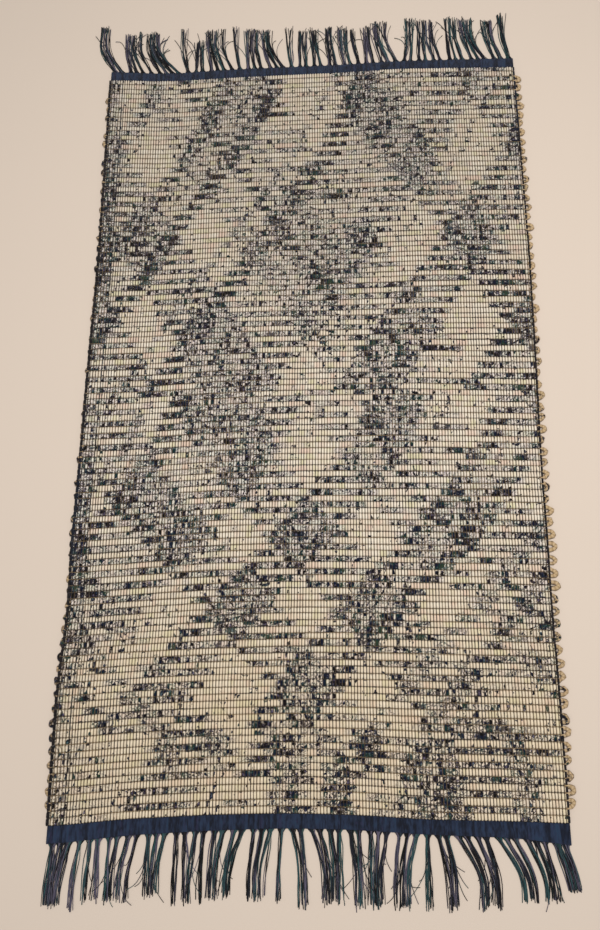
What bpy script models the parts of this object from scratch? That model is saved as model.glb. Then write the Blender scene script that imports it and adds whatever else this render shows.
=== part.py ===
"""A rag rug lying flat: a body of rag rows, a navy heading at each end, and a fringe of warp ends.

Metres, +Z up. The rug's length runs along Y, its underside lies at Z = 0, and the origin is under
the middle of its outline. It is woven in one piece on one warp, so every solid is a flat slab cut to
its own uneven outline, a hair's breadth from the next.
"""

from collections import namedtuple

import bpy
import numpy as np

MM = 0.001

# Driving dimensions.
ENDS_PER_INCH = 12
WARP_ENDS = 324
ROWS = 130
ROW = 9.08 * MM
BODY_THICK = 6.0 * MM
HEADING_THICK = 3.4 * MM
FRINGE_THICK = 2.6 * MM
ENDS_PER_BUNDLE = 6
GAP = 0.3 * MM

WIDTH = WARP_ENDS / ENDS_PER_INCH * 25.4 * MM
LENGTH = ROWS * ROW
BUNDLES = WARP_ENDS // ENDS_PER_BUNDLE

# How far each side strays outward from the straight side, and how far the weft's loops stand past
# it, in millimetres. "along" runs from 0 at the near end to 1 at the far end.
Side = namedtuple("Side", "along left right left_loop right_loop")
SIDES = [
    Side(0.00, 2, -1, 13, 14),
    Side(0.15, 4, 0, 14, 16),
    Side(0.24, -3, -1, 12, 18),
    Side(0.30, 0, 1, 11, 17),
    Side(0.40, -2, 1, 10, 15),
    Side(0.55, -3, 6, 9, 11),
    Side(0.70, -6, 10, 11, 12),
    Side(0.85, -4, 10, 11, 14),
    Side(1.00, -2, 10, 11, 15),
]

# How far the body's two ends bow along Y, and how deep each heading is, in millimetres.
End = namedtuple("End", "across near_bow near_band far_bow far_band")
ENDS = [
    End(-340, -10, 23, -6, 19),
    End(-240, 0, 21, -12, 18),
    End(-130, 6, 20, -7, 19),
    End(-30, 9, 19, -4, 18),
    End(60, 8, 19, -2, 18),
    End(160, 3, 19, 3, 18),
    End(280, 2, 21, 1, 20),
    End(345, 0, 28, 1, 20),
]

# The fringe's bundles fall together in tufts, from left to right: how many bundles, where the
# middle of their tips lies across the rug, how far apart the tips are, and how long they hang.
Tuft = namedtuple("Tuft", "bundles tip pitch length")
NEAR_TUFTS = [
    Tuft(3, -333, 6, 72), Tuft(1, -308, 0, 78), Tuft(2, -283, 14, 72), Tuft(2, -259, 5, 74),
    Tuft(2, -241, 12, 77), Tuft(3, -204, 7, 71), Tuft(2, -167, 12, 81), Tuft(2, -147, 14, 82),
    Tuft(2, -124, 7, 80), Tuft(2, -105, 5, 78), Tuft(3, -68, 8, 82), Tuft(1, -37, 0, 84),
    Tuft(2, -4, 5, 90), Tuft(2, 26, 5, 85), Tuft(2, 39, 5, 83), Tuft(2, 68, 7, 89),
    Tuft(3, 89, 6, 86), Tuft(3, 122, 8, 85), Tuft(1, 156, 0, 85), Tuft(2, 188, 8, 85),
    Tuft(2, 228, 5, 82), Tuft(2, 244, 5, 81), Tuft(3, 286, 7, 74), Tuft(3, 314, 6, 68),
    Tuft(2, 344, 9, 54),
]
FAR_TUFTS = [
    Tuft(2, -357, 9, 94), Tuft(3, -313, 6, 81), Tuft(1, -295, 0, 86), Tuft(4, -271, 5, 85),
    Tuft(1, -217, 0, 93), Tuft(2, -188, 7, 64), Tuft(3, -167, 6, 83), Tuft(1, -148, 0, 88),
    Tuft(1, -125, 0, 87), Tuft(3, -98, 8, 82), Tuft(3, -72, 5, 77), Tuft(1, -32, 0, 79),
    Tuft(2, -8, 10, 76), Tuft(2, 12, 5, 77), Tuft(2, 38, 5, 80), Tuft(2, 62, 8, 78),
    Tuft(1, 79, 0, 72), Tuft(2, 104, 5, 76), Tuft(2, 121, 5, 82), Tuft(1, 135, 0, 84),
    Tuft(2, 179, 6, 86), Tuft(2, 198, 7, 84), Tuft(2, 213, 8, 84), Tuft(3, 249, 7, 85),
    Tuft(3, 276, 6, 86), Tuft(2, 313, 9, 80), Tuft(1, 338, 0, 94),
]

# One bundle's shape along its length: the distance from the comb's spine, and its half width, given
# where it spreads at its root as a share of the way to the next bundle.
ROOT_SPREAD = [(0.0 * MM, 0.46), (1.6 * MM, 0.36), (4.5 * MM, 0.25)]
BUNDLE_HALF = [(12 * MM, 2.4 * MM), (32 * MM, 2.3 * MM), (52 * MM, 2.2 * MM)]
TIP_HALF = 1.7 * MM
SPINE = 2.5 * MM
LEAN_DONE = 66 * MM      # past this distance a leaning bundle runs straight on
ROOT_PULL = 0.15         # share by which a tuft draws its bundles' roots together


def column(rows, name):
    """One named column of a table, as numbers."""
    return np.array([getattr(row, name) for row in rows], dtype=float)


def soft(at, stations, values, reach):
    """A table read between its rows, its corners rounded by averaging readings within reach."""
    shifts = np.linspace(-reach, reach, 5)
    return np.mean([np.interp(at + shift, stations, values) for shift in shifts], axis=0)


def side(name, along):
    """A column of SIDES in metres, at a share of the length."""
    return MM * soft(along, column(SIDES, "along"), column(SIDES, name), 0.03)


def end(name, x):
    """A column of ENDS in metres, at a place across the rug."""
    return MM * soft(x / MM, column(ENDS, "across"), column(ENDS, name), 20)


def side_x(which, along):
    """Where a side's outermost warp ends run."""
    sign = -1 if which == "left" else 1
    return sign * (WIDTH / 2 + side(which, along))


def body_end_y(which, x):
    """Where the rag rows stop and a heading starts."""
    sign = -1 if which == "near" else 1
    return sign * LENGTH / 2 + end(which + "_bow", x)


def heading_end_y(which, x):
    """Where a heading stops and the fringe starts."""
    sign = -1 if which == "near" else 1
    return body_end_y(which, x) + sign * end(which + "_band", x)


def across(which, count, inset):
    """Evenly spaced places from side to side at one end, each side drawn in by inset."""
    along = 0.0 if which == "near" else 1.0
    return np.linspace(side_x("left", along) + inset, side_x("right", along) - inset, count)


def looped_side(which):
    """A side of the body from near to far: one rounded scallop for each turn of the weft."""
    turns = ROWS // 2
    phase = np.array([0.0, 0.3, 0.7])                # the valley, and the crest's two shoulders
    crest = np.array([0.0, 1.0, 1.0])
    turn = np.repeat(np.arange(turns), len(phase))
    along = (turn + np.tile(phase, turns)) / turns
    uneven = 1.8 * MM * np.sin(2.4 * turn)
    valley = 6.0 * MM
    loop = side(which + "_loop", along) + uneven - valley * (1 - np.tile(crest, turns))
    sign = -1 if which == "left" else 1
    x = side_x(which, along) + sign * loop
    near = body_end_y("near", x)
    far = body_end_y("far", x)
    margin = 0.012                                   # the loops stop short of the body's corners
    share = margin + (1 - 2 * margin) * along
    return np.stack([x, near + (far - near) * share], axis=1)


def body_outline():
    """The rag body, anticlockwise from its near left corner."""
    near_x = across("near", 25, 0.0)
    far_x = across("far", 25, 0.0)[::-1]
    near = np.stack([near_x, body_end_y("near", near_x)], axis=1)
    far = np.stack([far_x, body_end_y("far", far_x)], axis=1)
    return np.concatenate([near, looped_side("right"), far, looped_side("left")[::-1]])


def heading_outline(which):
    """A woven band between the body's end and the fringe, a gap's width from the body."""
    sign = -1 if which == "near" else 1
    x = across(which, 25, 0.0)
    inner = np.stack([x, body_end_y(which, x) + sign * GAP], axis=1)
    outer = np.stack([x, heading_end_y(which, x)], axis=1)
    return np.concatenate([inner, outer[::-1]])


def bundle_places(which, tufts):
    """Every bundle's root and tip across the rug, and its length, from the table of tufts."""
    roots = across(which, 2 * BUNDLES + 1, 0.0)[1::2]
    places = []
    first = 0
    for tuft in tufts:
        own = roots[first:first + tuft.bundles]
        fan = np.arange(tuft.bundles) - (tuft.bundles - 1) / 2
        root = own + ROOT_PULL * (own.mean() - own)
        tip = MM * (tuft.tip + tuft.pitch * fan)
        uneven = 1.5 * MM * np.cos(2.1 * (first + fan))
        places.append(np.stack([root, tip, MM * tuft.length + uneven], axis=1))
        first += tuft.bundles
    return np.concatenate(places).T


def fringe_outline(which, tufts):
    """A comb: a spine along the heading's edge, and a leaning tooth for each bundle of warp ends."""
    sign = -1 if which == "near" else 1
    roots, tips, lengths = bundle_places(which, tufts)
    sides = across(which, 2, 0.0)
    room = np.diff(np.concatenate([[2 * sides[0] - roots[0]], roots, [2 * sides[1] - roots[-1]]]))
    points = []
    for index, (root, tip, length) in enumerate(zip(roots, tips, lengths)):
        for hand in (-1, 1):
            half = [(d, share * room[index + (hand + 1) // 2]) for d, share in ROOT_SPREAD]
            half += BUNDLE_HALF + [(length - SPINE - GAP, TIP_HALF)]
            distance, width = np.array(half if hand < 0 else half[::-1]).T
            lean = np.sin(np.pi / 2 * np.clip(distance / LEAN_DONE, 0, 1)) ** 1.15
            x = root + (tip - root) * lean + hand * width
            y = heading_end_y(which, root + 0 * x) + sign * (GAP + SPINE + distance)
            points.append(np.stack([x, y], axis=1))
    inner_x = across(which, 25, 0.0)[::-1]
    inner = np.stack([inner_x, heading_end_y(which, inner_x) + sign * GAP], axis=1)
    return np.concatenate(points + [inner])


def finish(name, colour, roughness):
    """A plain cloth or yarn material."""
    material = bpy.data.materials.new(name)
    material.use_nodes = True
    shader = material.node_tree.nodes["Principled BSDF"]
    shader.inputs["Base Color"].default_value = (*colour, 1.0)
    shader.inputs["Roughness"].default_value = roughness
    shader.inputs["Metallic"].default_value = 0.0
    return material


def slab(name, outline, thickness, material, collection):
    """A flat slab with this outline, resting on Z = 0."""
    curve = bpy.data.curves.new(name, "CURVE")
    curve.dimensions = "2D"
    curve.fill_mode = "BOTH"
    curve.extrude = thickness / 2
    spline = curve.splines.new("POLY")
    spline.points.add(len(outline) - 1)
    for point, (x, y) in zip(spline.points, outline):
        point.co = (x, y, 0.0, 1.0)
    spline.use_cyclic_u = True
    curve.materials.append(material)
    piece = bpy.data.objects.new(name, curve)
    piece.location.z = thickness / 2
    collection.objects.link(piece)
    return piece


for leftover in list(bpy.data.objects):
    bpy.data.objects.remove(leftover, do_unlink=True)

rug = bpy.data.collections.new("rag_rug")
bpy.context.scene.collection.children.link(rug)

rag_cloth = finish("rag_cloth", (0.36, 0.30, 0.23), 0.92)
heading_yarn = finish("heading_yarn", (0.022, 0.030, 0.046), 0.85)
fringe_yarn = finish("fringe_yarn", (0.018, 0.022, 0.030), 0.80)

pieces = {
    "rag_body": (body_outline(), BODY_THICK, rag_cloth),
    "heading_near": (heading_outline("near"), HEADING_THICK, heading_yarn),
    "heading_far": (heading_outline("far"), HEADING_THICK, heading_yarn),
    "fringe_near": (fringe_outline("near", NEAR_TUFTS), FRINGE_THICK, fringe_yarn),
    "fringe_far": (fringe_outline("far", FAR_TUFTS), FRINGE_THICK, fringe_yarn),
}

# The outline's middle goes over the origin.
everything = np.concatenate([outline for outline, _, _ in pieces.values()])
middle = (everything.min(axis=0) + everything.max(axis=0)) / 2
for name, (outline, thickness, material) in pieces.items():
    slab(name, outline - middle, thickness, material, rug)
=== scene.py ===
"""A rag rug, 27 by 48 inches and a fringe, laid flat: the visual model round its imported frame.

Metres, +Z up, +Y along the rug towards its far end. Sizes in MM are the maker's own.
"""

import math

import bpy
import numpy as np
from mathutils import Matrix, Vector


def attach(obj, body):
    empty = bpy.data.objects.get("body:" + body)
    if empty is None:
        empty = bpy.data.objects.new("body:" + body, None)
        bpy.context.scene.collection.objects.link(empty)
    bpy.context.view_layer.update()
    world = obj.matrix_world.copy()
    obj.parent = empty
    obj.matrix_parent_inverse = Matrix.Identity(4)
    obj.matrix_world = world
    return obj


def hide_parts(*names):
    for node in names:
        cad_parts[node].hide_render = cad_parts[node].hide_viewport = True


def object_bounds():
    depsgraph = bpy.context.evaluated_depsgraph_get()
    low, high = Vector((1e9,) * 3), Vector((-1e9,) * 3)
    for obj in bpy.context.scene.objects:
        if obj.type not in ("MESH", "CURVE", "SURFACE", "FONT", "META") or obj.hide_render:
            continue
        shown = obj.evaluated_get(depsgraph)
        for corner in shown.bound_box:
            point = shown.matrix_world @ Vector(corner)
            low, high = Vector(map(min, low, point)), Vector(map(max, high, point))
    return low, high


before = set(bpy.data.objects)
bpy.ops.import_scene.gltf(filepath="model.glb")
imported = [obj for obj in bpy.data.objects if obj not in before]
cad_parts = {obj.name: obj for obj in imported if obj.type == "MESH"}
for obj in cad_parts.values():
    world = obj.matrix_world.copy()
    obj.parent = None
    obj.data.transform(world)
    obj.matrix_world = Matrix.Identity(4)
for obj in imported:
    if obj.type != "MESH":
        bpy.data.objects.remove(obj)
cad_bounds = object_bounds()

MM = 0.001

# --- Camera, floor and light ------------------------------------------------------------------
# The rug lies on a plain pale floor under a soft overhead light, and the camera looks down on it
# from above its near end, turned a little to one side.

camera_data = bpy.data.cameras.new("camera")
camera_data.sensor_width = 36.0
camera_data.lens = 27.87
camera = bpy.data.objects.new("camera", camera_data)
camera.location = (0.0229, -0.3763, 1.0365)
camera.rotation_euler = [math.radians(degrees) for degrees in (14.41, 1.97, 0.14)]
bpy.context.scene.collection.objects.link(camera)
bpy.context.scene.camera = camera

world = bpy.data.worlds.new("studio")
world.use_nodes = True
sky = world.node_tree.nodes["Background"].inputs
sky["Color"].default_value = (1.0, 0.965, 0.92, 1.0)
sky["Strength"].default_value = 0.36
bpy.context.scene.world = world
bpy.context.scene.view_settings.view_transform = "Standard"


def softbox(name, place, size, watts, colour):
    """A square area light that looks at the rug's middle."""
    data = bpy.data.lights.new(name, "AREA")
    data.size = size
    data.energy = watts
    data.color = colour
    light = bpy.data.objects.new(name, data)
    light.location = place
    reach = math.hypot(place[0], place[1])
    light.rotation_euler = (math.atan2(reach, place[2]), 0.0, math.atan2(place[0], -place[1]))
    bpy.context.scene.collection.objects.link(light)


softbox("key", (0.35, 0.1, 2.2), 0.8, 43.0, (1.0, 0.95, 0.89))
softbox("fill", (-1.2, -0.9, 2.0), 1.8, 6.0, (1.0, 0.96, 0.92))


# --- Shader maths -----------------------------------------------------------------------------
# The floor is the first thing to wear a finish, so the means of writing one come here.


class Value:
    """A shader socket. Python's operators on it add Math nodes."""

    def __init__(self, finish, socket):
        self.finish = finish
        self.socket = socket

    def maths(self, operation, *values):
        return self.finish.node("ShaderNodeMath", {"operation": operation}, dict(enumerate(values)))

    def whole(self):
        """A vector of the whole numbers at or below this one's first two, and of 0."""
        floor_of = self.finish.node("ShaderNodeVectorMath", {"operation": "FLOOR"}, {0: self})
        return self.finish.stretched(floor_of, (1.0, 1.0, 0.0))

    def axis(self, index):
        """One of a vector's three numbers."""
        return self.finish.node("ShaderNodeSeparateXYZ", {}, {0: self}, index)

    def __add__(self, other):
        return self.maths("ADD", self, other)

    __radd__ = __add__

    def __sub__(self, other):
        return self.maths("SUBTRACT", self, other)

    def __rsub__(self, other):
        return self.maths("SUBTRACT", other, self)

    def __mul__(self, other):
        return self.maths("MULTIPLY", self, other)

    __rmul__ = __mul__

    def __abs__(self):
        return self.maths("ABSOLUTE", self)


class Finish:
    """A material. Every node comes from node(), and the other methods name the ones used most."""

    def __init__(self, name):
        self.material = bpy.data.materials.new(name)
        self.material.use_nodes = True
        self.tree = self.material.node_tree
        self.tree.nodes.clear()

    def node(self, kind, settings=None, inputs=None, output=0):
        """A node of this type: its settings first, then its sockets' values or links."""
        made = self.tree.nodes.new(kind)
        for name, value in (settings or {}).items():
            setattr(made, name, value)
        for name, value in (inputs or {}).items():
            if isinstance(value, Value):
                self.tree.links.new(value.socket, made.inputs[name])
            else:
                made.inputs[name].default_value = value
        return Value(self, made.outputs[output]) if len(made.outputs) else None

    def attribute(self, name, output="Fac"):
        """A number or vector that the mesh carries at its points."""
        return self.node("ShaderNodeAttribute", {"attribute_name": name}, output=output)

    def stretched(self, vector, scale, shift=(0.0, 0.0, 0.0)):
        """vector times scale plus shift, one axis at a time."""
        settings = {"operation": "MULTIPLY_ADD"}
        return self.node("ShaderNodeVectorMath", settings, {0: vector, 1: scale, 2: shift})

    def noise(self, vector, scale=1.0, detail=2.0, rough=0.5):
        """Smooth noise, mostly between 0.3 and 0.7."""
        inputs = {"Vector": vector, "Scale": scale, "Detail": detail, "Roughness": rough}
        return self.node("ShaderNodeTexNoise", {}, inputs)

    def step(self, value, low, high):
        """0 below low, 1 above high, and a smooth rise between."""
        settings = {"interpolation_type": "SMOOTHSTEP"}
        return self.node("ShaderNodeMapRange", settings, {0: value, 1: low, 2: high})

    def larger(self, first, second):
        """The larger of two values."""
        return self.node("ShaderNodeMath", {"operation": "MAXIMUM"}, {0: first, 1: second})

    def mix(self, share, first, second):
        """One colour turning into another as share goes from 0 to 1."""
        first, second = [(*c, 1.0) if isinstance(c, tuple) else c for c in (first, second)]
        settings = {"data_type": "RGBA"}
        return self.node("ShaderNodeMix", settings, {0: share, 6: first, 7: second}, output=2)

    def cloth(self, colour, roughness, height=None, depth=0.0, sheen=0.0):
        """Ends the material: a Principled shader, with height bumping it by depth metres."""
        inputs = {
            "Base Color": colour, "Roughness": roughness, "Specular IOR Level": 0.1,
            "Sheen Weight": sheen, "Sheen Roughness": 0.6,
        }
        if height is not None:
            bump = {"Height": height, "Distance": depth, "Strength": 1.0}
            inputs["Normal"] = self.node("ShaderNodeBump", {}, bump)
        shader = self.node("ShaderNodeBsdfPrincipled", {}, inputs)
        self.node("ShaderNodeOutputMaterial", {}, {"Surface": shader})
        return self.material


def linear(red, green, blue):
    """A colour given in display values from 0 to 255, as the shader's linear numbers."""
    shares = [value / 255 for value in (red, green, blue)]
    return tuple(s / 12.92 if s <= 0.04045 else ((s + 0.055) / 1.055) ** 2.4 for s in shares)


floor_mesh = bpy.data.meshes.new("floor")
FLOOR = 9.0                   # half its side
floor_corners = [(-FLOOR, -FLOOR, 0), (FLOOR, -FLOOR, 0), (FLOOR, FLOOR, 0), (-FLOOR, FLOOR, 0)]
floor_mesh.from_pydata(floor_corners, [], [(0, 1, 2, 3)])
floor = bpy.data.objects.new("floor", floor_mesh)
bpy.context.scene.collection.objects.link(floor)
floor_paint = Finish("floor_paint")
floor_paint.cloth((*linear(207, 195, 184), 1.0), 0.9)
floor_mesh.materials.append(floor_paint.material)


# --- The lie of the cloth ---------------------------------------------------------------------
# Threads and rows are placed by two shares: across, from the left side to the right, and along,
# from the near heading to the far one. The sides wander and the ends bow, as the cloth drew in.

ENDS_PER_INCH = 12
COLUMNS = 162                 # warp ends that show on a face, and the beans of rag between them
WIDTH = 2 * COLUMNS / ENDS_PER_INCH * 25.4 * MM
ROWS = 130
ROW_UNEVEN = 0.045            # how much rows differ in depth, as a share of it
ROW_TURNS = 0.07              # how much deeper the even rows are, and shallower the odd ones
COLUMN_UNEVEN = 0.05          # how much the gaps between warp ends differ, as a share
ROW_SWAY = 1.0 * MM           # how far rows run off straight, in long waves and in short ones
ROW_RIPPLE = 0.3 * MM

# How far each side strays outward from straight, and how far the weft's loops stand past it, at
# these shares of the length. A table's corners are rounded over the reach given.
SIDE_REACH = 0.03
SIDE_ALONG = (0.00, 0.15, 0.24, 0.30, 0.40, 0.55, 0.70, 0.85, 1.00)
SIDE_STRAY_MM = {
    "left": (2, 4, -3, 0, -2, -3, -6, -4, -2),
    "right": (-1, 0, -1, 1, 1, 6, 10, 10, 10),
}
LOOP_REACH_MM = {
    "left": (13, 14, 12, 11, 10, 9, 11, 11, 11),
    "right": (14, 16, 18, 17, 15, 11, 12, 14, 15),
}


def soft(at, stations, values, reach):
    """A table read between its rows, its corners rounded by averaging readings within reach."""
    shifts = np.linspace(-reach, reach, 5)
    return np.mean([np.interp(at + shift, stations, values) for shift in shifts], axis=0)


def slab_edges(node):
    """A CAD slab's two long edges, as x, near y and far y where both have a corner."""
    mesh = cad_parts[node].data
    place = np.zeros(3 * len(mesh.vertices), dtype=np.float32)
    mesh.vertices.foreach_get("co", place)
    corners = np.unique(np.round(place.reshape(-1, 3)[:, :2], 5), axis=0)
    stations, first, count = np.unique(corners[:, 0], return_index=True, return_counts=True)
    pair = first[count == 2]
    return stations[count == 2], corners[pair, 1], corners[pair + 1, 1]


HEADING_EDGES = {which: slab_edges("heading_" + which) for which in ("near", "far")}
STRAY_LEFT_NEAR = soft(0.0, SIDE_ALONG, SIDE_STRAY_MM["left"], SIDE_REACH) * MM
SHIFT_X = HEADING_EDGES["near"][0][0] + WIDTH / 2 + STRAY_LEFT_NEAR


def side_x(which, along):
    """Where a side's outermost warp ends run."""
    stray = MM * soft(along, SIDE_ALONG, SIDE_STRAY_MM[which], SIDE_REACH)
    return SHIFT_X + (-1 if which == "left" else 1) * (WIDTH / 2 + stray)


def loop_reach(which, along):
    """How far the weft's loops stand past a side."""
    return MM * soft(along, SIDE_ALONG, LOOP_REACH_MM[which], SIDE_REACH)


def body_end_y(which, x):
    """Where the rag rows stop and a heading starts."""
    stations, near, far = HEADING_EDGES[which]
    return np.interp(x, stations, far if which == "near" else near)


def heading_end_y(which, x):
    """Where a heading stops and the fringe starts."""
    stations, near, far = HEADING_EDGES[which]
    return np.interp(x, stations, near if which == "near" else far)


def wander(u, v, seed):
    """A smooth uneven number, mostly between -1 and 1: sine waves that cross at random, summed."""
    waves = 7
    dice = np.random.default_rng(seed)
    turn = dice.uniform(0, 2 * np.pi, waves)
    rate = dice.uniform(0.5, 1.5, waves)
    phase = dice.uniform(0, 2 * np.pi, waves)
    total = sum(
        np.sin(r * (u * np.cos(a) + v * np.sin(a)) + p) for a, r, p in zip(turn, rate, phase)
    )
    return total / math.sqrt(waves)


def lay(across, along):
    """x and y of the place at these shares of the body's width and length.

    It runs straight between the sides and between the ends, and then sways along the rug, less
    towards either end.
    """
    left = side_x("left", along)
    x = left + (side_x("right", along) - left) * across
    near = body_end_y("near", x)
    sway = ROW_SWAY * wander(9 * across, 30 * along, 11)
    sway = sway + ROW_RIPPLE * wander(60 * across, 150 * along, 12)
    sway = sway * np.sin(np.pi * np.clip(along, 0, 1)) ** 0.5
    return x, near + (body_end_y("far", x) - near) * along + sway


dice = np.random.default_rng(4)
even_row = np.arange(ROWS) % 2 == 0
row_depth = 1 + ROW_UNEVEN * dice.standard_normal(ROWS) + np.where(even_row, ROW_TURNS, -ROW_TURNS)
ROW_EDGE = np.concatenate([[0], np.cumsum(row_depth)]) / row_depth.sum()
column_width = 1 + COLUMN_UNEVEN * dice.standard_normal(COLUMNS)
COLUMN_EDGE = np.concatenate([[0], np.cumsum(column_width)]) / column_width.sum()


# --- Rag weft ---------------------------------------------------------------------------------
# Cotton rag, cut in strips and folded about 9 mm wide, a strip to each row. The warp ends nip it
# every 4 mm on the face and between those on the back, so it stands in beans. Three lengths of
# strip are thrown in turn, and each is one piece.

FACE_CROWN = 5.9 * MM         # a bean's top on the face
FACE_NIP = 4.2 * MM           # the rag's top under a warp end
EDGE_CROWN = 4.6 * MM         # the fold at a row's two edges, at a bean
EDGE_NIP = 3.3 * MM           # the same under a warp end
BACK_CROWN = 0.35 * MM
BACK_NIP = 1.0 * MM
SHOULDER = 0.74               # the flat of the strip, as a share of a row's half depth
NIP_SHOULDER = 0.60
ROW_HALF = 4.54 * MM          # half the breadth of the folded strip at a bean
NIP_INSET = 0.15              # how much a row narrows under a warp end
ODD_LOWER = 0.35 * MM         # how much lower the odd rows' beans stand
CREASE = 0.10 * MM            # how much one bean stands off the next
TILT = 0.25 * MM              # how much a bean leans towards one edge

# The share of a strip's breadth of the map that each side of its ring takes, added up.
STRIP_MAP = (0, 0.24, 0.56, 0.8, 0.9, 1.0)
# How far over the strip's breadth a ring's five corners lie, as the finish is told: a fold, the
# two shoulders, the other fold and the keel.
STRIP_BREADTH = np.array([1.5, 0.75, -0.75, -1.5, -3.0])


def stacked(*parts):
    """Arrays spread to one shape and stacked as its last axis, as x, y and z make points."""
    return np.stack(np.broadcast_arrays(*parts), axis=-1)


def mesh_of(name, points, faces):
    """A smoothly shaded mesh from points and arrays of faces.

    All the faces in one array have the same number of corners.
    """
    mesh = bpy.data.meshes.new(name)
    corners = np.concatenate([group.ravel() for group in faces]).astype(np.int32)
    sizes = np.concatenate([np.full(len(group), group.shape[1]) for group in faces])
    starts = np.concatenate([[0], np.cumsum(sizes)[:-1]])
    mesh.vertices.add(len(points))
    mesh.vertices.foreach_set("co", np.asarray(points, dtype=np.float32).ravel())
    mesh.loops.add(len(corners))
    mesh.loops.foreach_set("vertex_index", corners)
    mesh.polygons.add(len(sizes))
    mesh.polygons.foreach_set("loop_start", starts.astype(np.int32))
    mesh.polygons.foreach_set("loop_total", sizes.astype(np.int32))
    mesh.polygons.foreach_set("use_smooth", np.full(len(sizes), True))
    mesh.update(calc_edges=True)
    return mesh


def strands(name, rings, finish, slot, columns=1, around=None, **carried):
    """One piece of many closed strands, from rings[strand, station, corner, xyz].

    Each corner joins the next round the ring and the same one at the next station with a
    four-sided face, and a strand's end is closed by its whole ring. A ring runs anticlockwise as
    seen from the strand's far end. carried holds numbers for the finish, one for each point. The
    map for baking lays the strands side by side, in this many columns, and around shares out a
    strand's breadth of it among the ring's sides.
    """
    count, stations, corners = rings.shape[:3]
    index = np.arange(count * stations * corners).reshape(count, stations, corners)
    beside = np.roll(index, -1, axis=2)
    quads = np.stack([index[:, :-1], beside[:, :-1], beside[:, 1:], index[:, 1:]], axis=-1)
    caps = np.concatenate([index[:, 0, ::-1], index[:, -1]])
    mesh = mesh_of(name, rings.reshape(-1, 3), [quads.reshape(-1, 4), caps])

    shares = np.linspace(0, 1, corners + 1) if around is None else np.asarray(around)
    strand, station, corner = np.meshgrid(
        np.arange(count), np.arange(stations - 1), np.arange(corners), indexing="ij"
    )
    lanes = -(-count // columns)

    def place(strand, along, breadth):
        """A strand's place on the map, with a margin all round it."""
        u = (strand // lanes + 0.01 + 0.98 * along) / columns
        return stacked(u, (strand % lanes + 0.06 + 0.88 * breadth) / lanes).reshape(-1, 2)

    along = np.stack([station, station, station + 1, station + 1], -1) / (stations - 1)
    breadth = shares[np.stack([corner, corner + 1, corner + 1, corner], -1)]
    cap_strand = np.tile(np.arange(count), 2)[:, None]
    cap_along = np.repeat([0.0, 1.0], count)[:, None]
    sides = place(strand[..., None], along, breadth)
    mapped(mesh, np.concatenate([sides, place(cap_strand, cap_along, shares[:-1])]))
    return dressed(name, mesh, finish, slot, **carried)


def mapped(mesh, flat):
    """Gives the mesh its map for baking, from u and v at every corner of every face."""
    layer = mesh.uv_layers.new(name="OFBake")
    layer.data.foreach_set("uv", flat.astype(np.float32).ravel())


def dressed(name, mesh, finish, slot, **carried):
    """The object for a mesh: its carried numbers and finish, and the body it rides on.

    slot is not used.
    """
    for label, values in carried.items():
        values = np.asarray(values, dtype=np.float32)
        kind, key = ("FLOAT_VECTOR", "vector") if values.shape[-1:] == (3,) else ("FLOAT", "value")
        mesh.attributes.new(label, kind, "POINT").data.foreach_set(key, values.ravel())
    mesh.materials.append(finish)
    piece = bpy.data.objects.new(name, mesh)
    bpy.context.scene.collection.objects.link(piece)
    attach(piece, "root")
    return piece


# The cloth was printed with dark bars at wide and narrow spacings, so along a strip they come round
# a little later every second row, and line up aslant. Even rows slant one way and odd rows the
# other, as the strip goes back and forth. A family has its bars' middles, in columns, where they
# would meet the far end, half their breadths, how dark they are, and whether rows differ in them.
EVEN_BARS = [
    (-136, 4, 1.2, 0), (-122, 5, 0.8, 0), (-108, 7, 0.9, 1),
    (-74, 4, 1.4, 0), (-63, 13, 0.85, 0), (-62, 5, 1.0, 0), (-54, 4, 0.9, 0),
    (-32, 4, 1.2, 0), (-21, 14, 0.9, 0), (-23, 5, 1.2, 0), (-10, 4, 0.9, 0),
    (17, 8, 0.75, 0), (31, 4, 1.4, 0), (38, 20, 0.7, 0), (45, 4, 0.9, 0), (58, 9, 0.9, 1),
    (93, 5, 1.2, 0), (101, 12, 0.9, 0), (106, 4, 1.1, 0), (118, 5, 0.5, 0),
    (141, 4, 0.9, 0), (149, 14, 0.9, 0), (155, 5, 1.1, 0),
]
ODD_BARS = [
    (21, 5, 0.9, 0), (50, 5, 1.3, 0), (58, 10, 0.6, 0), (68, 5, 1.5, 0),
    (92, 3, 0.7, 0), (106, 7, 1.4, 0), (122, 18, 0.7, 0), (141, 12, 1.0, 0), (157, 2, 0.6, 0),
    (176, 5, 1.2, 0), (183, 13, 0.85, 0), (190, 5, 1.1, 0),
    (222, 5, 1.4, 0), (230, 14, 0.75, 0), (238, 5, 1.4, 0), (261, 5, 0.8, 0),
    (277, 5, 1.1, 0), (294, 22, 0.7, 1),
]
# Below the strip's last join the bars stand nearly upright.
LAST_EVEN_BARS = [
    (6, 8, 0.6, 0), (44, 14, 1.2, 0), (70, 7, 1.1, 1), (85, 8, 0.8, 0), (101, 6, 1.4, 0),
    (120, 4, 1.0, 1), (142, 20, 1.2, 0), (158, 6, 1.0, 0),
]
LAST_ODD_BARS = [
    (10, 13, 0.6, 0), (36, 5, 0.7, 1), (52, 8, 0.7, 1), (75, 9, 1.2, 0), (90, 5, 1.1, 0),
    (102, 5, 1.2, 1), (114, 10, 0.9, 0), (124, 5, 1.3, 0), (146, 5, 1.0, 0),
]
LAST_JOIN = 118
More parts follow.
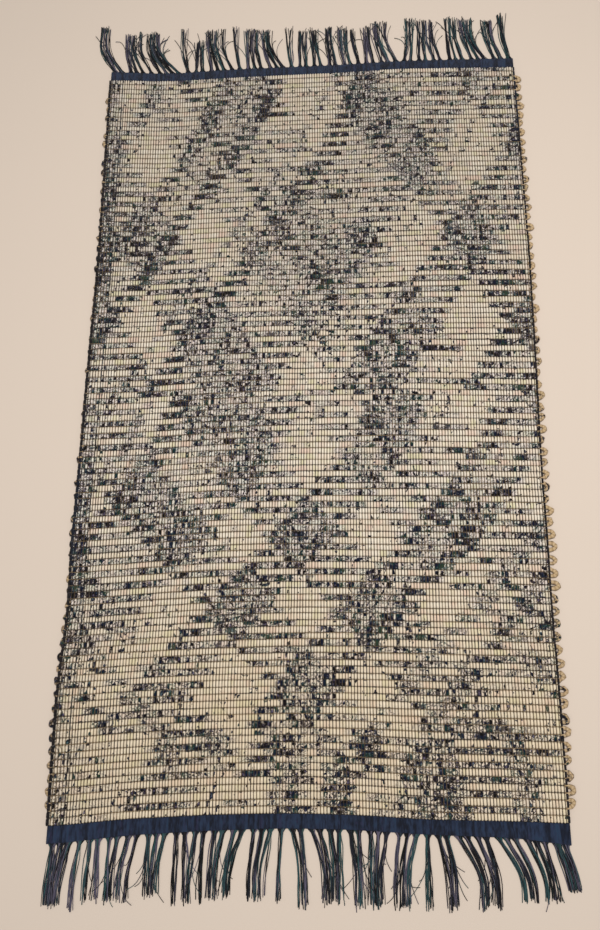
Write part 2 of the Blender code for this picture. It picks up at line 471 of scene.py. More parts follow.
# How many columns the bars have shifted at each of these rows, counted from the far end. The even
# rows' go to the right and the odd rows' to the left, and both go back where the strip is joined.
SHIFT_ROWS = (0, 17, 37, 63, 63.5, 73, 84, 95, 105, 117, 118, 130)
EVEN_SHIFT = (0, 17, 45, 79, 69, 76, 93, 115, 134, 155, 0, -11)
ODD_SHIFT = (0, 18, 46, 81, 68, 77, 95, 117, 137, 157, 0, -4)
ROW_ASTRAY = 0.45             # how far a row's bars lie off the others', in columns
LEFT_BAND = 5.6               # the columns down the left side that are dark all along


def bar_place(column, row):
    """The place on the printed cloth, in columns, that lies at a column and a row from the far end.

    It is the column less the family's shift, and a little astray in every row.
    """
    number = np.floor(row)
    astray = np.random.default_rng(31).normal(0, ROW_ASTRAY, 2 * ROWS)[number.astype(int) % ROWS]
    even = column - np.interp(number, SHIFT_ROWS, EVEN_SHIFT)
    odd = column + np.interp(number, SHIFT_ROWS, ODD_SHIFT)
    uneven = wander(0.12 * column, 0.15 * row, 21)
    return np.where(number % 2 == 0, even, odd) + astray + uneven


def print_weight(place, column, row):
    """How thickly the rag is printed, from 0 to about 1.5, at a place on the printed cloth.

    The darkest of the bars of the row's family, each full over its middle and fading to its edges,
    on a faint ground that wanders. Rows are printed more and less faintly.
    """
    number = np.floor(row).astype(int)
    dice = np.random.default_rng(32)
    own = dice.uniform(-1, 1, (2, ROWS))[:, number % ROWS]
    weight = 0.16 + 0.10 * wander(0.17 * column, 0.35 * row, 23)
    band = np.clip(LEFT_BAND - column, 0, 1) * (0.84 + 0.3 * wander(0.3 * column, 0.2 * row, 24))
    weight = np.maximum(weight, band)
    families = ((EVEN_BARS, LAST_EVEN_BARS), (ODD_BARS, LAST_ODD_BARS))
    for side, family in enumerate(families):
        for last, bars in enumerate(family):
            here = (number % 2 == side) & ((number >= LAST_JOIN) == last)
            for middle, half, dark, loose in bars:
                level = dark * (1 + 0.7 * loose * own[1])
                bar = level * np.clip(1.6 - 1.3 * np.abs(place - middle) / half, 0, 1)
                weight = np.maximum(weight, here * bar)
    return weight * (1 - 0.13 * weight) * (1 + 0.10 * own[0])


def rag_rows(rows):
    """The rings of these rows' strips, and what each point carries: its place on the strip in
    beans, rows and breadths, the same on the printed cloth, and the weight of the print there.

    A ring has five corners: a fold at each edge, two shoulders on the face and a keel on the back.
    Stations fall at each warp end of the face and midway between, where the back's ends lie. The
    crown stands high midway and is nipped at the ends, and the keel the other way round.
    """
    column = np.arange(2 * COLUMNS + 1) / 2
    across = np.interp(column, np.arange(COLUMNS + 1), COLUMN_EDGE)
    nipped = (np.arange(2 * COLUMNS + 1) % 2 == 0).astype(float)
    row = rows[:, None]
    x, y = lay(across, (ROW_EDGE[row] + ROW_EDGE[row + 1]) / 2)
    uneven = np.random.default_rng(rows[0]).standard_normal((len(rows), len(column)))
    plump = 1 + 0.07 * wander(0.7 * column, 2.4 * row, 41)
    depth = (ROW_EDGE[row + 1] - ROW_EDGE[row]) * ROWS
    half = ROW_HALF * depth * (1 - NIP_INSET * nipped) * (1 + 0.02 * uneven)
    flat = half * (SHOULDER + (NIP_SHOULDER - SHOULDER) * nipped)
    inward = np.minimum(column, COLUMNS - column)
    full = np.clip((inward - 0.6) / 0.8, 0, 1) * (1 - nipped)      # not at the two sides
    lower = np.where(even_row[row], 0.0, ODD_LOWER)
    crown = FACE_NIP + (FACE_CROWN - FACE_NIP - lower) * full * plump + CREASE * uneven * full
    keel = BACK_NIP + (BACK_CROWN - BACK_NIP) * nipped
    tilt = TILT * wander(0.9 * column, 3.1 * row, 42)
    offset = stacked(half, flat, -flat, -half, 0.0)
    edge = EDGE_NIP + (EDGE_CROWN - EDGE_NIP) * full
    height = stacked(edge, crown + tilt, crown - tilt, edge, keel)
    rings = stacked(x[..., None], y[..., None] + offset, height)
    strip = stacked(column[:, None], row[..., None], STRIP_BREADTH)
    from_far = ROWS - 0.5 - row
    place = bar_place(column, from_far)
    weight = np.broadcast_to(print_weight(place, column, from_far)[..., None], rings.shape[:3])
    printed_row = from_far + 400 * (row % 2)          # the two families lie on cloth far apart
    printed = stacked(place[..., None], printed_row[..., None], STRIP_BREADTH)
    return rings, strip, printed, weight


def rag_finish(name, cream, body):
    """Cream cotton with a dark print, whose cover grows with the weight that the mesh carries.

    Marks the size of a bean or less stand where one field falls below a line that rises with the
    weight, and longer runs where one drawn out along the strip does. Where the print is heavy,
    thin outlines follow one value of the first field and of a broad one. The ink turns from
    near-black to navy, teal, green and plum, and wears to pale. The bare cloth's tone wanders,
    cools under heavy print and turns gold towards the near end. Painted shade browns the bare
    cloth where it dips under the warp and at its folds, standing in for the shadow that rounds the
    beans and darkens the gaps between rows. The far end is a little duller. body is how far the
    bare cloth turns to the cream given.
    """
    rag = Finish(name)
    strip = rag.attribute("strip", "Vector")
    printed = rag.attribute("printed", "Vector")
    weight = rag.attribute("print_weight")
    place, row, breadth = strip.axis(0), strip.axis(1), strip.axis(2)
    dip = abs(place.maths("FRACT", place) * 2.0 - 1.0)

    fine = rag.noise(rag.stretched(strip, (2.2, 9.1, 1.6)), detail=2.0)
    cell = rag.noise(rag.stretched(printed, (0.64, 0.10, 0.50), (31.0, 0.0, 3.0)))
    bean = rag.node("ShaderNodeTexWhiteNoise", {}, {"Vector": strip.whole()})
    field = 0.74 * cell + 0.13 * fine + 0.13 * bean
    blobs = rag.step(0.337 + 0.150 * weight - field, -0.012, 0.014)
    drawn = 0.84 * rag.noise(rag.stretched(strip, (0.13, 7.3, 0.20)), detail=1.0) + 0.16 * bean
    runs = rag.step(0.254 + 0.112 * weight - drawn, -0.010, 0.020)
    outlines = 1.0 - rag.step(abs(cell - 0.570) - 0.026 * weight, 0.000, 0.014)
    winding = rag.noise(rag.stretched(strip, (0.21, 0.33, 0.3), (3.0, 5.0, 0.0)), detail=1.0)
    arcs = 1.0 - rag.step(abs(winding - 0.5) - 0.013 * weight, 0.000, 0.010)
    thin = rag.larger(outlines, arcs) * rag.step(weight, 0.3, 0.8)
    marks = rag.larger(rag.larger(blobs, runs), thin * 0.9)

    hue = rag.noise(rag.stretched(strip, (0.30, 3.9, 0.3), (7.0, 3.0, 0.0)), detail=1.0)
    deep = rag.mix(rag.step(hue, 0.43, 0.50), linear(9, 8, 8), linear(11, 19, 42))
    deep = rag.mix(rag.step(hue, 0.55, 0.62), deep, linear(14, 44, 46))
    deep = rag.mix(rag.step(hue, 0.64, 0.70), deep, linear(40, 58, 44))
    deep = rag.mix(rag.step(hue, 0.30, 0.38), linear(30, 22, 30), deep)
    pale = rag.mix(rag.step(hue, 0.42, 0.58), linear(98, 90, 116), linear(84, 104, 110))
    worn = rag.noise(rag.stretched(strip, (1.0, 4.0, 1.0), (0.0, 23.0, 0.0)), detail=2.0)
    ink = rag.mix(rag.step(worn, 0.52, 0.74), deep, pale)

    tone = rag.noise(rag.stretched(strip, (0.10, 0.55, 0.2), (0.0, 9.0, 0.0)), detail=2.0)
    bare = rag.mix(rag.step(tone, 0.38, 0.62), linear(233, 222, 205), linear(239, 233, 220))
    warm = rag.noise(rag.stretched(strip, (0.22, 0.9, 0.1), (19.0, 0.0, 0.0)), detail=1.0)
    bare = rag.mix(rag.step(warm, 0.53, 0.72), bare, linear(230, 208, 194))
    bare = rag.mix(rag.step(warm, 0.47, 0.28), bare, linear(223, 219, 188))
    tint = rag.mix(rag.step(hue, 0.40, 0.60), linear(224, 219, 225), linear(217, 224, 221))
    bare = rag.mix(rag.step(weight, 0.3, 0.85) * 0.7, bare, tint)
    flecks = rag.step(fine, 0.44, 0.62) * rag.step(weight, 0.05, 0.8)
    bare = rag.mix(flecks * 0.11, bare, linear(112, 109, 112))
    bare = rag.mix(rag.step(row, 50.0, 8.0) * 0.42, bare, linear(226, 207, 170))
    bare = rag.mix(bean * 0.20, bare, linear(182, 166, 142))
    bare = rag.mix(body, bare, cream)
    # Painted shade: brown where the strip dips under a warp end and at its folds into the gaps
    # between rows, in place of shadow. It goes on the bare cloth, under the ink.
    shade = dip * 0.20 + dip * dip * 0.40 + rag.step(abs(breadth), 0.9, 1.6) * 0.28
    bare = rag.mix(shade, bare, linear(128, 96, 54))
    colour = rag.mix(marks, bare, ink)
    colour = rag.mix(rag.step(row, 56.0, 114.0) * 0.14, colour, linear(40, 36, 26))

    creases = rag.noise(rag.stretched(strip, (1.1, 13.0, 4.2)), detail=3.0)
    threads = rag.noise(rag.stretched(strip, (9.0, 3.0, 9.0)), detail=1.0)
    return rag.cloth(colour, 0.88, creases + 0.3 * threads, 0.0009, 0.05)


rag_cloth = rag_finish("printed_rag", linear(236, 216, 186), 0.0)
for turn, name in enumerate(("rag_weft_a", "rag_weft_b", "rag_weft_c")):
    rings, strip, printed, weight = rag_rows(np.arange(turn, ROWS, 3))
    strands(
        name, rings, rag_cloth, "rag_cloth", around=STRIP_MAP,
        strip=strip, printed=printed, print_weight=weight,
    )
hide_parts("rag_body")


# --- Warp -------------------------------------------------------------------------------------
# Fine dark cotton. On the face each end rides over every rag row, in the nip between two beans,
# and dips under the binder between rows. On the back, ends lie midway between those.

WARP_BROAD = 0.90 * MM
WARP_PROUD = 0.7 * MM         # how far a warp end stands above the rag that it nips
GAP_HIGH = 3.5 * MM           # where it dips between rows
WARP_KEEL = 1.6 * MM          # where its underside runs, inside the rag
WARP_STRAY = 0.16 * MM        # how far it wavers sideways, and how far up and down
WARP_BOB = 0.10 * MM


def face_warp(name, across, broad, finish, proud=WARP_PROUD):
    """One piece of warp ends over the face, each at its share across the rug.

    A row gives each end three stations: the gap before it and the rag's two shoulders. The end
    has a flat top there, two corners wide, and a keel below that dips through the rag with one
    point to a row. Its walls are six-sided, from a row's top edge down to the keel.
    """
    count = len(across)
    half = (ROW_EDGE[1:] - ROW_EDGE[:-1]) / 2
    middle = (ROW_EDGE[1:] + ROW_EDGE[:-1]) / 2
    along = np.stack([ROW_EDGE[:-1], middle - NIP_SHOULDER * half, middle + NIP_SHOULDER * half], 1)
    along = np.append(along.ravel(), 1.0)
    rise = np.append(np.tile([0.0, 1.0, 1.0], ROWS), 0.0)
    across = across[:, None]
    x, y = lay(across, along)
    x = x + WARP_STRAY * wander(90 * across, 160 * along, 51)
    z = GAP_HIGH + (FACE_NIP + proud - GAP_HIGH) * rise
    z = z + WARP_BOB * wander(200 * across, 300 * along, 52)
    wide = broad[:, None] / 2 * (1 + 0.12 * wander(130 * across, 210 * along, 53))
    top = np.stack([stacked(x - wide, y, z), stacked(x + wide, y, z)], axis=2)
    keel = stacked(x, y, WARP_KEEL)[:, ::3]
    stations = len(along)
    row_top = [slice(step, stations - 3 + step, 3) for step in range(4)]
    t = np.arange(count * stations * 2).reshape(count, stations, 2)
    k = t.size + np.arange(count * (ROWS + 1)).reshape(count, ROWS + 1)
    near, far = k[:, :-1], k[:, 1:]
    tops = np.stack([t[:, :-1, 0], t[:, :-1, 1], t[:, 1:, 1], t[:, 1:, 0]], -1).reshape(-1, 4)
    left = np.stack([t[:, part, 0] for part in row_top] + [far, near], -1).reshape(-1, 6)
    right = np.stack([t[:, part, 1] for part in row_top[::-1]] + [near, far], -1).reshape(-1, 6)
    ends = np.concatenate([
        np.stack([t[:, 0, 1], t[:, 0, 0], k[:, 0]], -1),
        np.stack([t[:, -1, 0], t[:, -1, 1], k[:, -1]], -1),
    ])
    points = np.concatenate([top.reshape(-1, 3), keel.reshape(-1, 3)])
    mesh = mesh_of(name, points, [tops, left, right, ends])

    # On the map an end is a lane: its left wall, its top and its right wall, between these edges.
    u = np.arange(stations) / (stations - 1)
    lane = (np.arange(count) / count)[:, None]
    v = [lane + part * (1 / count) for part in (0.08, 0.36, 0.64, 0.92)]

    def wall(edge, foot, turn):
        """A wall's map: the top edge's four stations, then the keel's far and near ends, and both
        the other way round where turn is -1."""
        upper = [stacked(u[part], edge) for part in row_top]
        lower = [stacked(u[3::3], foot), stacked(u[:-1:3], foot)]
        return upper[::turn] + lower[::turn]

    top_map = [
        stacked(u[:-1], v[1]), stacked(u[:-1], v[2]), stacked(u[1:], v[2]), stacked(u[1:], v[1]),
    ]
    maps = [top_map, wall(v[1], v[0], 1), wall(v[2], v[3], -1)]
    maps = [np.stack(corners, axis=2).reshape(-1, 2) for corners in maps]
    mapped(mesh, np.concatenate([*maps, np.full((ends.size, 2), 0.001)]))
    thread = stacked(along * ROWS, across * COLUMNS, 0.0)
    keel_thread = thread[:, ::3].reshape(-1, 3)
    thread = np.concatenate([np.repeat(thread.reshape(-1, 3), 2, axis=0), keel_thread])
    return dressed(name, mesh, finish, "fringe_yarn", thread=thread)


def yarn_finish(name, dark, light, accents, twist=2.2, near_alike=0.31):
    """Twisted cotton: each thread its own shade between dark and light, with paler plies along it.

    Some threads turn to an accent. The smaller near_alike is, the more neighbours share it.
    """
    yarn = Finish(name)
    thread = yarn.attribute("thread", "Vector")
    own = yarn.noise(yarn.stretched(thread, (0.05, 1.9, 1.7)), detail=1.0)
    colour = yarn.mix(yarn.step(own, 0.35, 0.65), dark, light)
    for index, accent in enumerate(accents):
        shift = (0.0, 40.0 + 9 * index, 0.0)
        other = yarn.noise(yarn.stretched(thread, (0.03, near_alike, 2.3), shift), detail=0.0)
        colour = yarn.mix(yarn.step(other, 0.56, 0.62) * 0.9, colour, accent)
    plies = yarn.noise(yarn.stretched(thread, (twist, 5.0, 5.0)), detail=2.0)
    colour = yarn.mix(yarn.step(plies, 0.52, 0.75) * 0.3, colour, linear(110, 104, 108))
    return yarn.cloth(colour, 0.82, plies, 0.0004, 0.05)


warp_yarn = yarn_finish(
    "warp_yarn", linear(36, 31, 27), linear(74, 63, 50),
    [linear(26, 28, 36), linear(94, 80, 62)],
)
inner = COLUMN_EDGE[1:-1]
broad = WARP_BROAD * (1 + 0.10 * np.random.default_rng(6).standard_normal(len(inner)))
warp = [
    face_warp("warp_odd", inner[0::2], broad[0::2], warp_yarn),
    face_warp("warp_even", inner[1::2], broad[1::2], warp_yarn),
]


BACK_HALF = 0.6 * MM          # half the breadth of an end on the back
BACK_LOW = 0.05 * MM
BACK_HIGH = 1.3 * MM

back_across = ((COLUMN_EDGE[1:] + COLUMN_EDGE[:-1]) / 2)[:, None]
back_along = np.linspace(0, 1, 34)
back_x, back_y = lay(back_across, back_along)
back_rings = np.stack([
    stacked(back_x - BACK_HALF, back_y, BACK_LOW),
    stacked(back_x, back_y, BACK_HIGH),
    stacked(back_x + BACK_HALF, back_y, BACK_LOW),
], axis=2)
back_thread = stacked(back_along * ROWS, back_across * COLUMNS, 3.0)
back_warp = strands(
    "warp_back", back_rings, warp_yarn, "fringe_yarn",
    thread=np.repeat(back_thread[:, :, None], 3, axis=2),
)


# --- Binder -----------------------------------------------------------------------------------
# A fine dark weft thrown between two rag rows, which packs them and fills the gap.

BINDER_HALF = 0.85 * MM
BINDER_LOW = 3.2 * MM
BINDER_HIGH = 4.1 * MM

binder_across = np.linspace(0, 1, 56)
binder_x, binder_y = lay(binder_across, ROW_EDGE[:, None])
binder_y = np.clip(
    binder_y, body_end_y("near", binder_x) + BINDER_HALF, body_end_y("far", binder_x) - BINDER_HALF
)
binder_rings = np.stack([
    stacked(binder_x, binder_y + BINDER_HALF, BINDER_LOW),
    stacked(binder_x, binder_y, BINDER_HIGH),
    stacked(binder_x, binder_y - BINDER_HALF, BINDER_LOW),
], axis=2)
binder_thread = stacked(binder_across * COLUMNS, np.arange(ROWS + 1)[:, None], 7.0)
binder_yarn = yarn_finish(
    "binder_yarn", linear(90, 76, 58), linear(134, 114, 86), [linear(52, 46, 42)]
)
binder = strands(
    "binder", binder_rings, binder_yarn, "fringe_yarn",
    thread=np.repeat(binder_thread[:, :, None], 3, axis=2),
)


# --- Side ends and loops ----------------------------------------------------------------------
# Three warp ends lie close together down the left side and two down the right, and two more lie
# 22 mm in from the left, each group a near-black line. Past them the rag turns back every second
# row, and stands out in a loop of folded strip.

SIDE_BROAD = 1.55 * MM
SIDE_PROUD = 1.15 * MM        # how far these ends stand above the rag
LEFT_ENDS_MM = np.array([-0.9, 0.4, 1.7, 22.2, 23.6])

side_yarn = yarn_finish("side_yarn", linear(16, 16, 18), linear(34, 30, 32), [linear(26, 32, 44)])
side_places = LEFT_ENDS_MM * MM / WIDTH
side_places = np.concatenate([side_places, 1 - side_places[1:3]])
face_warp("warp_sides", side_places, np.full(len(side_places), SIDE_BROAD), side_yarn, SIDE_PROUD)

LOOP_MARGIN = 0.012           # the loops stop this share of the length short of the corners
LOOP_THICK = 3.2 * MM         # half the breadth of the folded strip
LOOP_FLATNESS = 0.55          # its height as a share of its breadth
LOOP_HIGH = 2.9 * MM          # where the middle of the strip runs, unevenly
LOOP_TOP = 5.7 * MM           # and no loop stands above this
LOOP_ROOT = 3.4 * MM          # how far inside the side a loop starts
LOOP_STATIONS = 10
LOOP_CORNERS = 6
# How much of the reach a loop takes, and how heavily it is printed: the least and the most.
LOOP_SHARE = {"left": (0.34, 0.62), "right": (0.55, 0.86)}
LOOP_PRINT = {"left": (0.5, 1.4), "right": (0.0, 0.7)}


def loop_strands(which, seed):
    """One side's loops: their rings, and the place on the strip and print's weight at each point.

    A loop is a flattened tube that leaves a row, bulges out and comes back along half an ellipse,
    squared a little at its crest. Each leans, reaches and stands unevenly.
    """
    dice = np.random.default_rng(seed)
    turns = ROWS // 2
    sign = -1 if which == "left" else 1
    centre = LOOP_MARGIN + (1 - 2 * LOOP_MARGIN) * (np.arange(turns) + 0.5) / turns
    spacing = (1 - 2 * LOOP_MARGIN) / turns
    reach = loop_reach(which, centre) + 1.8 * MM * np.sin(2.4 * np.arange(turns))
    reach = reach * dice.uniform(*LOOP_SHARE[which], turns)
    angle = np.linspace(-np.pi / 2, np.pi / 2, LOOP_STATIONS)
    squared = np.sign(np.sin(angle)) * np.abs(np.sin(angle)) ** 0.85
    lean = dice.uniform(-0.16, 0.16, turns)[:, None] * np.cos(angle)
    along = centre[:, None] + spacing * (0.27 * squared + lean)
    plump = dice.uniform(0.8, 1.15, turns)[:, None]
    thick = LOOP_THICK * (1 - 0.2 * np.abs(np.sin(angle))) * plump
    x = side_x(which, along)
    x = x + sign * (np.cos(angle) ** 0.8 * (reach[:, None] - 0.3 * MM) - LOOP_ROOT)
    y = lay(0.5 + 0.5 * sign, along)[1]
    z = LOOP_HIGH + 0.6 * MM * dice.standard_normal(turns)[:, None] * np.cos(angle)
    z = np.clip(z, thick * 0.7 + 0.1 * MM, LOOP_TOP - thick * 0.7)
    ahead = direction(x, y)
    turn = 2 * np.pi * np.arange(LOOP_CORNERS) / LOOP_CORNERS
    flat, tall = np.cos(turn), np.sin(turn) * LOOP_FLATNESS
    crumple = 1 + 0.16 * dice.standard_normal((turns, LOOP_STATIONS, LOOP_CORNERS))
    rings = stacked(
        x[..., None] + ahead[..., 1:] * thick[..., None] * flat * crumple,
        y[..., None] - ahead[..., :1] * thick[..., None] * flat * crumple,
        np.maximum(z[..., None] + thick[..., None] * tall * crumple, 0.05 * MM),
    )
    length = np.linspace(0, 5, LOOP_STATIONS)[:, None] + 7 * seed
    row = 2 * np.arange(turns)[:, None, None] + 300.0
    weight = dice.uniform(*LOOP_PRINT[which], turns)[:, None, None]
    return rings, stacked(length, row, flat * 1.5), np.broadcast_to(weight, rings.shape[:3]).copy()


def direction(x, y):
    """The way that paths x, y[strand, station] run, as a vector of length 1."""
    ahead = np.stack([np.gradient(x, axis=1), np.gradient(y, axis=1)], -1)
    return ahead / np.linalg.norm(ahead, axis=-1, keepdims=True)


def inside_out(rings):
    """Which strands' rings run clockwise seen from their far end, judged by their first ring."""
    first = rings[:, 0]
    ahead = rings[:, 1].mean(axis=1) - first.mean(axis=1)
    spin = np.cross(np.roll(first, 1, axis=1), first).sum(axis=1)
    return np.sum(spin * ahead, axis=-1) < 0


loop_cloth = rag_finish("loop_rag", linear(206, 178, 136), 0.85)
for which, seed in (("left", 61), ("right", 62)):
    rings, strip, weight = loop_strands(which, seed)
    turned = inside_out(rings)
    for values in (rings, strip, weight):
        values[turned] = values[turned][:, :, ::-1]
    strands(
        "loops_" + which, rings, loop_cloth, "rag_cloth", columns=4,
        strip=strip, printed=strip, print_weight=weight,
    )


# --- Headings ---------------------------------------------------------------------------------
# A band of navy cotton at each end, packed close over the warp, which ribs it from the rag to the
# fringe. It is firm and thinner than the rag.

RIB_CREST = 3.35 * MM
RIB_VALLEY = 2.75 * MM
HEADING_OFF = 0.3 * MM        # how far the band starts beyond the rag
HEADING_LIFT = 0.02 * MM

# The band's section from the rag's side to the fringe's, over the top and back underneath: the
# share of its depth, and the share of its height there.
HEADING_SECTION = np.array([
    (0.00, 0.30), (0.02, 0.78), (0.09, 0.98), (0.28, 1.00), (0.50, 0.97), (0.72, 1.00),
    (0.91, 0.98), (0.98, 0.78), (1.00, 0.30), (0.95, 0.03), (0.50, 0.05), (0.05, 0.03),
])


def heading_finish():
    """Navy, with faint stripes of teal and plum where the warp's ends show between the picks."""
    navy = Finish("navy_weave")
    place = navy.attribute("thread", "Vector")
    stripe = navy.noise(navy.stretched(place, (1.25, 0.07, 0.0)), detail=2.0, rough=0.6)
    number = place.axis(0)
    own = {"W": number.maths("FLOOR", number)}
    end = navy.node("ShaderNodeTexWhiteNoise", {"noise_dimensions": "1D"}, own)
    stripe = 0.78 * stripe + 0.22 * end
    colour = navy.mix(navy.step(stripe, 0.32, 0.64), linear(19, 27, 46), linear(49, 65, 97))
    colour = navy.mix(navy.step(stripe, 0.58, 0.68) * 0.4, colour, linear(34, 72, 98))
    plum = navy.noise(navy.stretched(place, (0.5, 0.008, 9.0), (50.0, 0.0, 0.0)), detail=1.0)
    colour = navy.mix(navy.step(plum, 0.60, 0.68) * 0.4, colour, linear(60, 58, 96))
    settings = {"wave_type": "BANDS", "bands_direction": "Y", "wave_profile": "SIN"}
    wave_inputs = {"Vector": place, "Scale": 0.5, "Distortion": 0.6, "Detail": 1.0}
    picks = navy.node("ShaderNodeTexWave", settings, wave_inputs)
    # Painted shade: darker in the grooves between the picks, where the wave that bumps them is low.
    colour = navy.mix((1.0 - picks) * 0.35, colour, linear(12, 14, 24))
    return navy.cloth(colour, 0.8, picks, 0.0004, 0.05)


navy_weave = heading_finish()
for which, sign in (("near", -1), ("far", 1)):
    ends = HEADING_EDGES[which][0]
    rib = np.arange(3 * COLUMNS + 1) / 3                           # three stations to a rib
    crest = (np.arange(3 * COLUMNS + 1) % 3 != 0).astype(float)
    x = ends[0] + (ends[-1] - ends[0]) * rib / COLUMNS
    inner_y = body_end_y(which, x) + sign * HEADING_OFF
    outer_y = heading_end_y(which, x)
    depth, height = HEADING_SECTION.T
    high = RIB_VALLEY + (RIB_CREST - RIB_VALLEY) * crest + 0.05 * MM * wander(rib, 0, 71)
    across_y = inner_y[:, None] + (outer_y - inner_y)[:, None] * depth
    section = stacked(x[:, None], across_y, high[:, None] * height + HEADING_LIFT)[None]
    thread = stacked(rib[:, None], 20 * depth, height)[None]
    if inside_out(section)[0]:
        section, thread = section[:, :, ::-1], thread[:, :, ::-1]
    strands(
        "heading_weave_" + which, section, navy_weave, "heading_yarn", thread=thread
    )
    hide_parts("heading_" + which)


# --- Fringe -----------------------------------------------------------------------------------
# The warp's cut ends, in 54 bundles of 6 past each heading. Each is a cord of two plies that has
# opened, so a bundle shows about ten fine threads. Bundles leave the heading evenly, gather within
# a few millimetres, lean together into tufts and fray at their tips. Strays wander between them.

BUNDLES = 54
THREADS = 10
STATIONS = 12                 # points along a thread
# The corners' bundles opened more: the first of them, the one past the last, and their threads.
FULLER = {"near": [(0, 3, 17), (52, 54, 28)], "far": [(0, 2, 15), (52, 54, 16)]}
STRAYS = {"near": 54, "far": 120}
# How far the tips stray, in millimetres, and how late along the thread they turn aside.
FRAY = {"near": (1.2, 2.2), "far": (2.0, 1.8)}
# How broad a bundle of ten is at some distances from the heading, all in millimetres.
BUNDLE_AT_MM = (0, 2.5, 6, 12, 50, 85)
BUNDLE_BROAD_MM = np.array([12.3, 7.4, 4.6, 4.0, 4.8, 5.0])
ROOT_HELD = 1.2 * MM          # how far a thread starts inside the heading
ROOT_PULL = 0.15              # how far a bundle's root is drawn to its tuft's middle
LEAN_DONE = 66 * MM           # where a bundle has come over to its tuft
TIPS_PAST = 4 * MM            # how far past the solid comb a tip may reach
FRINGE_HIGH = 2.6 * MM
THREAD_RADIUS = (0.58 * MM, 0.94 * MM)

# A stray's least and most, in millimetres: how far from the heading it leaves its bundle, how far
# it ends to one side, how far it runs on and how far it sags.
STRAY_START_MM = (4, 36)
STRAY_ASIDE_MM = (4, 26)
STRAY_RUN_MM = (26, 70)
STRAY_SAG_MM = (2, 12)
STRAY_END = 82 * MM           # where a stray ends at the furthest
STRAY_RADIUS = 0.48 * MM

# Tufts from left to right: how many bundles, where the middle of their tips lies across the rug,
# how far apart the tips are, and how long they hang, all in millimetres.
TUFTS = {
    "near": np.array([
        (3, -333, 6, 72), (1, -308, 0, 78), (2, -283, 14, 72), (2, -259, 5, 74), (2, -241, 12, 77),
        (3, -204, 7, 71), (2, -167, 12, 81), (2, -147, 14, 82), (2, -124, 7, 80), (2, -105, 5, 78),
        (3, -68, 8, 82), (1, -37, 0, 84), (2, -4, 5, 90), (2, 26, 5, 85), (2, 39, 5, 83),
        (2, 68, 7, 89), (3, 89, 6, 86), (3, 122, 8, 85), (1, 156, 0, 85), (2, 188, 8, 85),
        (2, 228, 5, 82), (2, 244, 5, 81), (3, 286, 7, 74), (3, 314, 6, 68), (2, 344, 9, 54),
    ]),
    "far": np.array([
        (2, -357, 9, 94), (3, -313, 6, 81), (1, -295, 0, 86), (4, -271, 5, 85), (1, -217, 0, 93),
        (2, -188, 7, 64), (3, -167, 6, 83), (1, -148, 0, 88), (1, -125, 0, 87), (3, -98, 8, 82),
        (3, -72, 5, 77), (1, -32, 0, 79), (2, -8, 10, 76), (2, 12, 5, 77), (2, 38, 5, 80),
        (2, 62, 8, 78), (1, 79, 0, 72), (2, 104, 5, 76), (2, 121, 5, 82), (1, 135, 0, 84),
        (2, 179, 6, 86), (2, 198, 7, 84), (2, 213, 8, 84), (3, 249, 7, 85), (3, 276, 6, 86),
        (2, 313, 9, 80), (1, 338, 0, 94),
    ]),
}


def bundle_places(which):
    """Every bundle's root and tip across the rug, and its length."""
    ends = HEADING_EDGES[which][0]
    roots = np.linspace(ends[0], ends[-1], 2 * BUNDLES + 1)[1::2]
    count, tip, pitch, length = TUFTS[which].T
    tuft = np.repeat(np.arange(len(count)), count)
    first = np.cumsum(count) - count
    fan = np.arange(BUNDLES) - first[tuft] - (count[tuft] - 1) / 2
    middle = np.add.reduceat(roots, first) / count
    root = roots + ROOT_PULL * (middle[tuft] - roots)
    uneven = 1.5 * np.cos(2.1 * (first[tuft] + fan))
    return root, SHIFT_X + MM * (tip[tuft] + pitch[tuft] * fan), MM * (length[tuft] + uneven)


def reached(d, done):
    """How far along to a distance from the heading the distances d are, from 0 to 1."""
    return np.clip(d / done, 0, 1)


def leant(d):
    """The share of its lean that a bundle has made at distances d from the heading."""
    return np.sin(np.pi / 2 * reached(d, LEAN_DONE))


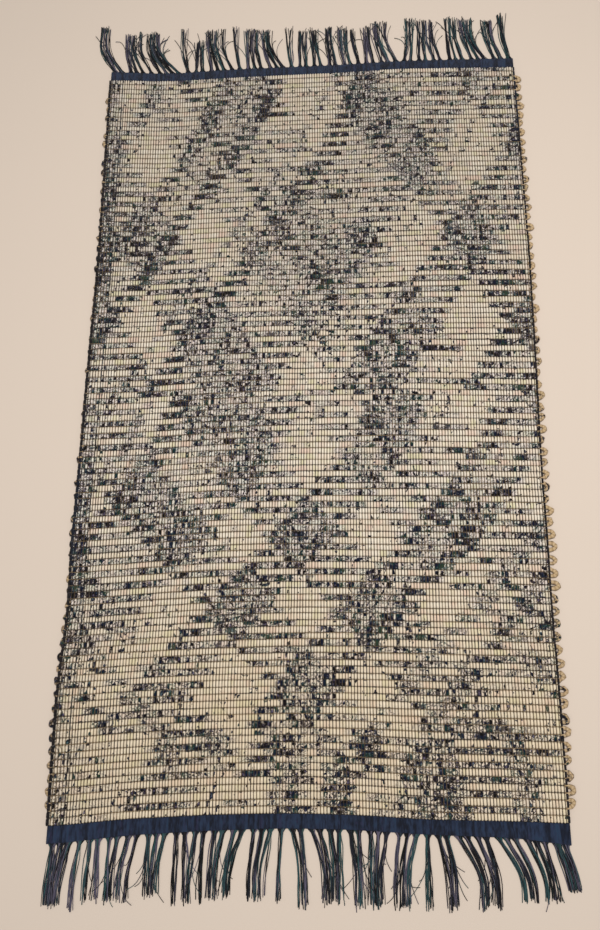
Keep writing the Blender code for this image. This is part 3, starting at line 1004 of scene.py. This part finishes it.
def bundle_threads(which, sign, dice):
    """The bundled threads' paths and radii, x, y, z, radius[thread, station], and their bundles.

    A thread leaves its own place in the heading, takes another in its bundle within 20 mm, leans
    over to its tuft on a quarter of a sine wave, wavers a little, and frays as a power of d, its
    distance from the heading.
    """
    root, tip, length = bundle_places(which)
    threads = np.full(BUNDLES, THREADS)
    for start, end, count in FULLER[which]:
        threads[start:end] = count
    bundle = np.repeat(np.arange(BUNDLES), threads)
    total = len(bundle)
    first = (np.cumsum(threads) - threads)[bundle]
    own_place = (np.arange(total) - first + 0.5) / threads[bundle] - 0.5
    share = np.linspace(0, 1, STATIONS) ** 1.15
    reach = length[bundle] * (1 + dice.normal(0, 0.035, total)) + 1 * MM
    d = reach[:, None] * share
    broad = np.interp(d / MM, BUNDLE_AT_MM, BUNDLE_BROAD_MM * MM)
    broad = broad * (1 + dice.uniform(-0.25, 0.35, BUNDLES)[bundle][:, None] * reached(d, 20 * MM))
    fuller = (np.sqrt(threads[bundle] / THREADS) - 1)[:, None]
    broad = broad * (1 + fuller * reached(d, 10 * MM))
    loose, bend = FRAY[which]
    fray = dice.normal(0, loose, total)[:, None] * MM * (d / 0.08) ** bend
    rate = dice.uniform(0.6, 1.3, total)[:, None]
    wave = 1.1 * MM * np.sin(d / 0.014 * rate + dice.uniform(0, 6.3, total)[:, None])
    wave = wave * reached(d, 20 * MM)
    mixed = own_place + dice.normal(0, 0.24, total)
    settled = reached(d, 20 * MM)
    place = own_place[:, None] * (1 - settled) + mixed[:, None] * settled
    x = root[bundle][:, None] + (tip - root)[bundle][:, None] * leant(d) ** 1.15
    x = x + place * broad + wave + fray
    y = heading_end_y(which, root[bundle])[:, None] + sign * (d - ROOT_HELD)
    layer = dice.uniform(0, 1, total)[:, None]
    z = 0.6 * MM + 1.7 * MM * layer * (1 - 0.35 * share)
    radius = dice.uniform(*THREAD_RADIUS, total)[:, None] * (1 - 0.15 * share)
    return (x, y, z, radius), bundle


def stray_threads(which, sign, dice):
    """The same for the strays, which leave a bundle part way along and run out to one side of it
    and to the tips, sagging along the rug as half a sine wave."""
    root, tip, length = bundle_places(which)
    strays = STRAYS[which]
    bundle = dice.integers(1, BUNDLES - 1, strays)
    share = np.linspace(0, 1, STATIONS)
    start = dice.uniform(*STRAY_START_MM, strays)[:, None] * MM
    side = dice.choice([-1, 1], strays)[:, None]
    aside = side * dice.uniform(*STRAY_ASIDE_MM, strays)[:, None] * MM
    out = np.minimum(dice.uniform(*STRAY_RUN_MM, strays)[:, None] * MM, STRAY_END - start)
    sag = dice.uniform(*STRAY_SAG_MM, strays)[:, None] * MM
    d = start + out * share + sag * np.sin(np.pi * share)
    x = root[bundle][:, None] + (tip - root)[bundle][:, None] * leant(d) + aside * share ** 1.5
    y = heading_end_y(which, root[bundle])[:, None] + sign * d
    z = 1.2 * MM + 0.8 * MM * dice.uniform(0, 1, strays)[:, None]
    return (x, y, np.broadcast_to(z, d.shape), np.full_like(d, STRAY_RADIUS)), bundle


def tubes(x, y, z, radius):
    """Three-cornered rings round the paths x, y, z[strand, station], which run mostly level."""
    ahead = direction(x, y)
    turn = np.pi / 2 + 2 * np.pi * np.arange(3) / 3
    side = radius[..., None] * np.cos(turn)
    return stacked(
        x[..., None] - ahead[..., 1:] * side,
        y[..., None] + ahead[..., :1] * side,
        z[..., None] + radius[..., None] * np.sin(turn),
    )


fringe_finish = yarn_finish(
    "fringe_yarn", linear(8, 8, 10), linear(40, 45, 60),
    [linear(98, 94, 114), linear(48, 84, 88), linear(8, 6, 7)], 3.0, 0.19,
)
for which, sign in (("near", -1), ("far", 1)):
    dice = np.random.default_rng(80 + sign)
    bundled, bundle = bundle_threads(which, sign, dice)
    stray, stray_bundle = stray_threads(which, sign, dice)
    x, y, z, radius = (np.concatenate(pair) for pair in zip(bundled, stray))
    limit = cad_bounds[1][1] + TIPS_PAST
    rings = tubes(x, np.clip(y, -limit, limit), z, radius)
    rings[..., 2] = np.clip(rings[..., 2], 0.03 * MM, FRINGE_HIGH)
    bundle = np.concatenate([bundle, stray_bundle])[:, None]
    thread = stacked(np.linspace(0, 20, STATIONS), np.arange(len(x))[:, None], 3.0 * bundle)
    turned = inside_out(rings)
    rings[turned] = rings[turned][:, :, ::-1]
    strands(
        "fringe_threads_" + which, rings, fringe_finish, "fringe_yarn", columns=12,
        thread=np.repeat(thread[:, :, None], 3, axis=2),
    )
    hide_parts("fringe_" + which)
